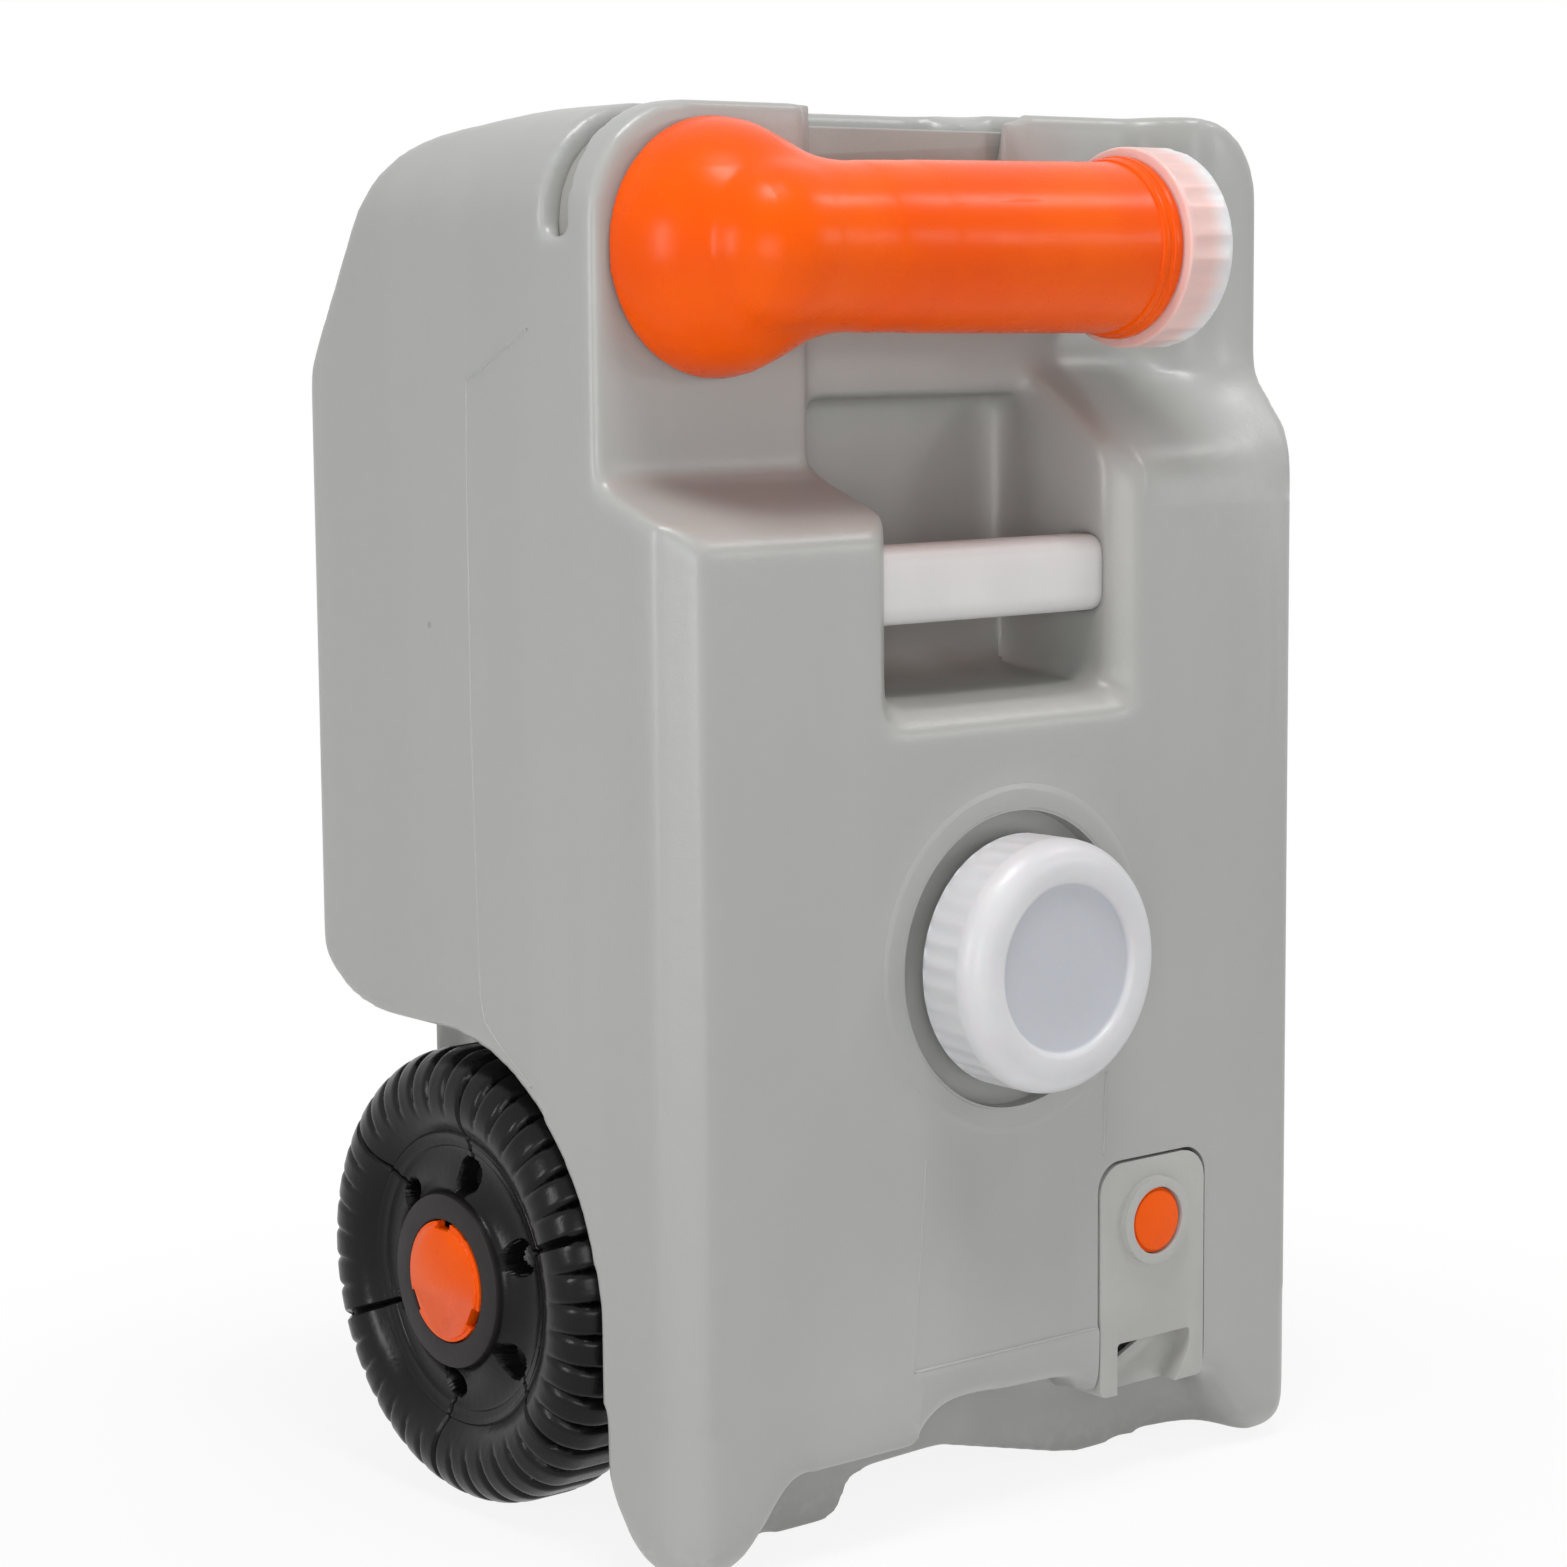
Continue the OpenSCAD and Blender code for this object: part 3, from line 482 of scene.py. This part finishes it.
# low and high fill the upright corner behind a wheel, and over fills the corner above it
for side in (-1, 1):
    low = block((96 * side, 121.9, 102.3), (32, 30, 116))
    low.rotation_euler.x = BACK_LEAN
    over = drum((129.5 * side, BACK_ROUND_Y, BACK_ROUND_Z), BACK_ROUND_R - 0.5, 99, ALONG_X)
    beyond = block((200 * side, 174.6, BACK_ROUND_Z), (80, 80, 200))
    beyond.rotation_euler.z = HALF_SQUARE
    cut(over, beyond)
    high = block((96 * side, 126.5, 202.5), (32, 53, 85))
    plugs += [low, high, over]
only(tank, *plugs)
bpy.ops.object.join()
apply(tank, "REMESH", mode="VOXEL", voxel_size=VOXEL)
print("remeshed", len(tank.data.vertices), "points")

# %% [markdown]
# Over each wheel the lower back corner of the tank is a generous round. A block with a round bite taken
# out of it is the tool that cuts this round. A turned block bevels the upright edge behind the wheel, and
# a second remesh evens the skin again.

# %% Tank: round the corners over the wheels
for side in (-1, 1):
    tool = block((155.5 * side, 134, 234.5), (84, 76, 75))
    cut(tool, drum((156 * side, BACK_ROUND_Y, BACK_ROUND_Z), BACK_ROUND_R, 100, ALONG_X))
    cut(tank, tool, "MANIFOLD")
    tool = block((141 * side, 141, 95), (60, 60, 230))
    tool.rotation_euler.z = HALF_SQUARE
    cut(tank, tool, "MANIFOLD")
apply(tank, "REMESH", mode="VOXEL", voxel_size=VOXEL)
print("rounded", len(tank.data.vertices), "points")

# %% [markdown]
# Now the smoothing. The groove of the pull handle stays crisp, most edges get a few passes, and the bowl
# beside the spout's mouth, the shelf's front edge, the floor of the grip recess, the feet and the lip
# over the floor arch get many.

# %% Tank: smooth
def crisp(x, y, z):
    """On the pull handle's groove, which stays crisper."""
    return abs(y + 42) < 17 and (abs(x) > 146 or z > 552 and x < 34)


LIP_OUT = 1.3
smooth(tank, 3, crisp)
smooth(tank, 9, lambda x, y, z: not crisp(x, y, z))
# the bowl beside the spout's mouth, then all round it
smooth(tank, 45, lambda x, y, z: 64 < x < 164 and 450 < z < 562 and y < -52)
smooth(tank, 14, lambda x, y, z: x > 60 and z > 440 and y < -52)
# the right shelf's front edge and the right end of the hand pocket
smooth(tank, 130, lambda x, y, z: 78 < x < 172 and 430 < z < 486 and y < -66)
smooth(tank, 70, lambda x, y, z: 30 < x < 66 and z > 522 and y < -16)
# the floor of the grip recess, the feet, and the lip over the floor arch, which also stands out a little
smooth(tank, 220, lambda x, y, z: abs(x) < 57 and 338 < z < 390 and -108 < y < -30)
smooth(tank, 26, lambda x, y, z: abs(x) > 112 and z < 70 and y < -60)
smooth(tank, 60, lambda x, y, z: -56 < x < 50 and z < 70 and y < -92)
pick(tank, lambda x, y, z: -57 < x < 50 and 44 < z < 72 and y < -110)
bpy.ops.transform.translate(value=(0, -LIP_OUT * MM, 0))
done()
apply(tank, "DECIMATE", ratio=0.3)
print("tank skin", len(tank.data.polygons), "faces")

# %% [markdown]
# The filler's sunk ring and the vent's pocket have crisp edges on the real tank, because they are cut or
# pressed with a separate insert. They are cut into the smooth skin with booleans, after the smoothing.

# %% Tank: cut the filler recess and the vent pocket
cut(tank, drum((0, FRONT - 13, FILLER_Z), 63.5, 40, ALONG_Y))
pocket = block((VENT_X, FRONT, 92.6), (66.4, 44, 105.4))
only(pocket)
bpy.ops.object.transform_apply(location=True, scale=True)
for left in (True, False):
    pick(pocket, lambda x, y, z: z > 100 and (x < VENT_X) == left)
    bpy.ops.mesh.bevel(offset=13 * MM, segments=8)
done()
cut(tank, pocket)
settle(tank, 50)
dress(tank, grey, "tank", "tank_grey", "tank")

# %% [markdown]
# A blow mould is made of several steel blocks, and where they meet the plastic keeps a hair-fine raised
# line. Each line is a poly curve with a round section. Its points are dropped on the skin, and then it
# becomes a mesh.

# %% Tank: mould lines
STEP, SUNK = 4, 0.35


def bead(name, corners, radius):
    """A fine raised line on the tank's skin, through corners in millimetres."""
    path = bpy.data.curves.new(name, "CURVE")
    path.dimensions = "3D"
    path.bevel_depth = radius * MM
    path.bevel_resolution = 1
    places = [Vector(corners[0])]
    for start, end in zip(corners, corners[1:]):
        start, end = Vector(start), Vector(end)
        steps = math.ceil((end - start).length / STEP)
        places += [start.lerp(end, (step + 1) / steps) for step in range(steps)]
    line = path.splines.new("POLY")
    line.points.add(len(places) - 1)
    for point, place in zip(line.points, places):
        spot, normal = tank.closest_point_on_mesh(place * MM)[1:3]
        point.co = (*(spot - normal * radius * SUNK * MM), 1)
    piece = bpy.data.objects.new(name, path)
    bpy.context.scene.collection.objects.link(piece)
    only(piece)
    bpy.ops.object.convert(target="MESH")
    settle(piece, 80)
    dress(piece, grey, "tank", "tank_grey")


for side in (-1, 1):
    x = HALF_WIDTH * side
    bead("side_line", [(x, -18, 196), (x, 4, 210), (x, 15, 219), (x, 18, 230), (x, 21, 340), (x, 21, 447),
                       (x, 20, 488), (x, -24, 509)], 0.7)
bead("panel_left", [(-51, FRONT, 164), (-54, FRONT, 125), (-58, FRONT, 73)], 0.5)
bead("panel_right", [(53.5, FRONT, 186), (52.5, FRONT, 149)], 1)
bead("panel_low", [(-58, FRONT, 72.5), (-3, FRONT, 72.5), (49, FRONT, 72.5)], 0.8)

# %% [markdown]
# Simple CAD solids keep their shape. A bevel rounds their edges by the fraction of a millimetre that
# catches light on a real moulding, which a sharp CAD edge never does. Each hub cap has three notches in
# its rim for a flat tool.

# %% Softened solids
grip = soften("grip_bar", "grip_bar_skin", 0.6)
dress(grip, bar_white, "tank", "bar_white", "grip_bar")
cover = soften("vent_cover", "vent_cover_skin", 0.6)
dress(cover, cover_grey, "tank", "cover_grey", "vent_cover")
button = soften("vent_button", "vent_button_skin", 0.8)
dress(button, orange, "vent_button", "spout_orange", "vent_button")
HUB_CAP_R = 26
for side, x in (("left", -181), ("right", 181)):
    cap = soften("hub_cap_" + side, "hub_cap_skin_" + side, 0.6)
    for turn in (0, math.radians(120), math.radians(240)):
        y, z = AXLE_Y - HUB_CAP_R * math.sin(turn), AXLE_Z + HUB_CAP_R * math.cos(turn)
        notch = block((x, y, z), (12, 10, 6.4))
        notch.rotation_euler.x = turn
        cut(cap, notch)
    settle(cap)
    dress(cap, orange, "wheel_" + side, "spout_orange", "hub_cap_" + side)
handle = soften("pull_handle", "pull_handle_skin", 2.2)
dress(handle, handle_grey, "pull_handle", "handle_grey", "pull_handle")

# %% [markdown]
# The spout is one hollow moulding: a domed foot from which the pipe leaves sideways with a generous
# fillet. The solid is remeshed as the tank was, and the fillet grows where the dome and the pipe meet by
# smoothing only there.

# %% Spout
def off_pipe(y, z):
    """Distance from the pipe's axis."""
    return math.hypot(y - PIPE_Y, z - PIPE_Z)


FLANGE_START, SEAT_GAP = 60, -74
spout = cad_copy("spout", "spout_skin")
apply(spout, "REMESH", mode="VOXEL", voxel_size=1.5 * MM)
smooth(spout, 16, lambda x, y, z: x < FLANGE_START)
smooth(spout, 1, lambda x, y, z: x >= FLANGE_START)
smooth(spout, 40, lambda x, y, z: x < -50 and y < SEAT_GAP and off_pipe(y, z) > 31)
smooth(spout, 110, lambda x, y, z: -112 < x < -78 and y < SEAT_GAP and off_pipe(y, z) > 33)
done()
apply(spout, "DECIMATE", ratio=0.5)
settle(spout, 60)
dress(spout, orange, "spout", "spout_orange", "spout")

# %% [markdown]
# Round pieces are turned on a lathe. Here a circle is the first ring of points, and each step of the
# profile is an extrusion along the axis followed by a change of radius. The piece is then laid on its
# axis.

# %% Lathe helper
def lathe(name, profile, around):
    """Turns a profile of (radius, height) in millimetres about Z, ring by ring."""
    bpy.ops.object.select_all(action="DESELECT")
    radius, height = profile[0]
    bpy.ops.mesh.primitive_circle_add(vertices=around, radius=radius * MM, location=(0, 0, height * MM))
    piece = bpy.context.object
    piece.name = name
    bpy.ops.object.transform_apply(location=True)
    bpy.ops.object.mode_set(mode="EDIT")
    bpy.ops.mesh.select_all(action="SELECT")
    for (r0, h0), (r1, h1) in zip(profile, profile[1:]):
        bpy.ops.mesh.extrude_edges_move(TRANSFORM_OT_translate={"value": (0, 0, (h1 - h0) * MM)})
        bpy.ops.transform.resize(value=(r1 / r0, r1 / r0, 1), center_override=(0, 0, 0))
    bpy.ops.mesh.select_all(action="SELECT")
    bpy.ops.mesh.remove_doubles(threshold=0.02 * MM)
    bpy.ops.mesh.normals_make_consistent(inside=False)
    done()
    return piece


def arc(radius, height, r, start, end, steps):
    """Points of a rounding about a centre in the profile, angles in degrees from outwards to up."""
    turns = [math.radians(start + (end - start) * i / steps) for i in range(steps + 1)]
    return [(radius + r * math.cos(a), height + r * math.sin(a)) for a in turns]


def column(x, y, around):
    """Which upright column of points of a turned piece a place belongs to."""
    return round(math.degrees(math.atan2(y, x)) * around / 360) % around


def flute(cap, around, wide, skirt, draws):
    """Draws in a cap's skirt. A draw is the share of the radius that stays and the columns of a flute."""
    low, high, least = skirt
    for share, places in draws:
        pick(cap, lambda x, y, z: (low < z < high and math.hypot(x, y) > least
                                   and column(x, y, around) % wide in places))
        bpy.ops.transform.resize(value=(share, share, 1), center_override=(0, 0, 0))
    done()


def lay(piece, at, turn):
    """Turns a piece's axis from Z and moves it to its place in millimetres."""
    piece.rotation_euler = turn
    piece.location = Vector(at) * MM


print("lathe ready")

# %% [markdown]
# The filler cap is a cup with a broad rounded front edge, a sunk disc and flutes round its skirt, which
# wet fingers can turn. Six columns of points make one flute, and the middle ones are drawn in by almost a
# millimetre.

# %% Filler cap, rim and neck
profile = [(0.005, 28.7), (48.3, 28.7), (48.3, 0), (52.4, 0)] + arc(52.4, 1.6, 1.6, -90, 0, 3)
profile += [(54, 4), (54, 18), (54, 21)] + arc(43, 22, 11, 0, 90, 8) + [(38.5, 33)]
profile += [(37, 32.6), (36.2, 31.6), (35.6, 30.4), (34.6, 30), (20, 30), (0.005, 30)]
FILLER_AROUND = 216
filler = lathe("filler_cap_skin", profile, FILLER_AROUND)
flute(filler, FILLER_AROUND, 6, (1, 20, 52.6), ((0.984, (0,)), (0.987, (1, 5)), (0.994, (2, 4))))
lay(filler, (0, FRONT - 0.5, FILLER_Z), ALONG_Y)
settle(filler, 50)
dress(filler, disc, "filler_cap", "cap_white", "filler_cap")

rim = lathe("filler_rim", [(63.6, -4), (63.6, 0.4), (64.3, 1), (74.6, 0.9), (75.4, 0.3), (75.6, -2)], 128)
lay(rim, (0, FRONT, FILLER_Z), ALONG_Y)
settle(rim, 50)
dress(rim, grey, "tank", "tank_grey")

profile = [(43, -10), (43, 25), (43.6, 26), (46, 26), (46.6, 25.2)]
for ring in (21, 15, 9):
    profile += [(46.6, ring + 1.6), (47.7, ring + 0.6), (47.7, ring - 0.6), (46.6, ring - 1.6)]
neck = lathe("filler_neck", profile + [(46.6, -10), (43, -10)], 96)
lay(neck, (0, FRONT, FILLER_Z), ALONG_Y)
settle(neck, 40)
dress(neck, grey, "tank", "tank_grey")

# %% [markdown]
# The spout cap has broad flutes. Seven columns of points make one flute: the middle one is drawn in most
# and its neighbours less, so that the flute is a shallow round valley.

# %% Spout cap and flange
profile = [(0.005, 25.2), (37.6, 25.2), (37.6, 0), (41.6, 0)] + arc(41.6, 1.2, 1.2, -90, 0, 3)
profile += [(42.8, 4), (42.8, 22)] + arc(37, 22.2, 5.8, 0, 90, 6)
profile += [(31, 28), (29.6, 27.2), (28.6, 26.5), (0.005, 26.5)]
SPOUT_CAP_AROUND = 168
spout_cap = lathe("spout_cap_skin", profile, SPOUT_CAP_AROUND)
flute(spout_cap, SPOUT_CAP_AROUND, 7, (3, 24, 39), ((0.976, (0,)), (0.979, (1, 6)), (0.988, (2, 5))))
lay(spout_cap, (73, PIPE_Y, PIPE_Z), ALONG_X)
settle(spout_cap, 50)
dress(spout_cap, milk, "spout_cap", "cap_white", "spout_cap")

profile = [(35.5, -7), (37.2, -6.4), (37.8, -5.2), (37.8, -3.2), (37.3, -2.4), (37.6, -1.7), (38.6, -1.2)]
profile += [(38.8, 0), (38.8, 2.2), (38.3, 3.2), (36.5, 3.6), (35.5, 3.6), (35.5, -7)]
flange = lathe("spout_flange", profile, 96)
lay(flange, (69, PIPE_Y, PIPE_Z), ALONG_X)
settle(flange, 40)
dress(flange, orange, "spout", "spout_orange")

# %% [markdown]
# Each wheel is one hollow moulding: a hub ring, a dish with six finger-deep pockets, and a fat round tyre
# with forty-two cross grooves. The lathe gives twelve columns to a groove. The groove's middle columns
# are then pushed in along the surface, less and less down the shoulder, six creases run down the side,
# and the pockets are pushed in.

# %% Wheels
AROUND, GROOVE_COLUMNS = 504, 12
FIRST_SPOKE, POCKET_REACH = 8.571, 47
profile = [(11.1, 16), (26.8, 16), (26.8, 27.4), (27.4, 28), (36.8, 28), (37.8, 27.4), (38.2, 26)]
profile += [(38.4, 24.6), (39, 23.4)] + [(r, 17.6 + (abs(r - 53) / 14) ** 2 * 5.4) for r in range(40, 58, 1)]
profile += [(57.6, 18.4), (58.4, 19.4), (59.4, 19.6), (60.6, 19.8), (61.8, 20.2), (62.8, 21), (63.6, 21.2)]
profile += [(64.4, 20.7)]
profile += arc(80, 8, 20, 138, -0.01, 20) + arc(80, -8, 20, 0, -130, 15)
profile += [(58, -14), (52, -11), (44, -11), (39.4, -14), (38, -17), (38, -23), (37, -24), (11.1, -24)]
profile += [(11.1, 16)]
wheel = lathe("wheel_skin_left", profile, AROUND)


def turned(x, y):
    """Angle from the wheel's top towards the front, in degrees, once the wheel is laid on its side."""
    return math.degrees(math.atan2(-y, x))


def off_spoke(x, y):
    """Angle from the nearest of the six spokes, in degrees."""
    return (turned(x, y) - FIRST_SPOKE + 30) % 60 - 30


def pocket_at(x, y, reach):
    """Within reach of the middle of a pocket."""
    radius, angle = math.hypot(x, y), math.radians(off_spoke(x, y))
    return math.hypot(radius * math.cos(angle) - POCKET_REACH, radius * math.sin(angle)) < reach


# depth of the grooves between two radii, from the tread down to the shoulder
ZONES = ((96, 101, 2.6), (92, 96, 2.2), (88, 92, 1.8), (84, 88, 1.5), (80, 84, 1.1), (75, 80, 0.5))
for places, share in (((2, 10), 0.1), ((1, 11), 0.45), ((0,), 1.0)):
    for low, high, depth in ZONES:
        pick(wheel, lambda x, y, z: (low < math.hypot(x, y) <= high
                                     and column(x, y, AROUND) % GROOVE_COLUMNS in places))
        bpy.ops.transform.shrink_fatten(value=-depth * share * MM)
for reach, depth in ((1.1, -0.9), (0.4, -1.5)):
    pick(wheel, lambda x, y, z: z > 8 and 54 < math.hypot(x, y) < 92 and abs(off_spoke(x, y)) < reach)
    bpy.ops.transform.shrink_fatten(value=depth * MM)
for reach, depth in ((8, -1.5), (7, -3), (6.2, -4)):
    pick(wheel, lambda x, y, z: 8 < z < 24 and math.hypot(x, y) > 38.8 and pocket_at(x, y, reach))
    bpy.ops.transform.translate(value=(0, 0, depth * MM))
done()
lay(wheel, (-152.5, AXLE_Y, AXLE_Z), (0, -math.pi / 2, 0))
settle(wheel, 35)
only(wheel)
bpy.ops.object.duplicate()
other = bpy.context.object
other.name = "wheel_skin_right"
other.scale.x = -1
settle(other, 35)
dress(wheel, black, "wheel_left", "wheel_black", "wheel_left")
dress(other, black, "wheel_right", "wheel_black", "wheel_right")

# %% [markdown]
# What stays of the CAD model is inside: seals, bushes, the vent's valve and spring, and the axle. Each
# gets a finish of its own on its material slot.

# %% Inner solids
inner = {"spout_seal": seal_black, "spout_retainer": guide_white, "spout_cap_seal": seal_black,
         "filler_cap_seal": seal_black, "vent_bush": guide_white, "vent_valve": guide_white,
         "vent_seal": seal_black, "vent_spring": steel, "axle": steel}
for side in ("left", "right"):
    inner.update({"wheel_bush_" + side: guide_white, "axle_washer_" + side: steel, "axle_nut_" + side: steel,
                  "handle_shoe_" + side: guide_white, "handle_collar_" + side: guide_dark})
for node, finish in inner.items():
    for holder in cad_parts[node].material_slots:
        holder.material = finish.material
print(len(inner), "inner solids finished")
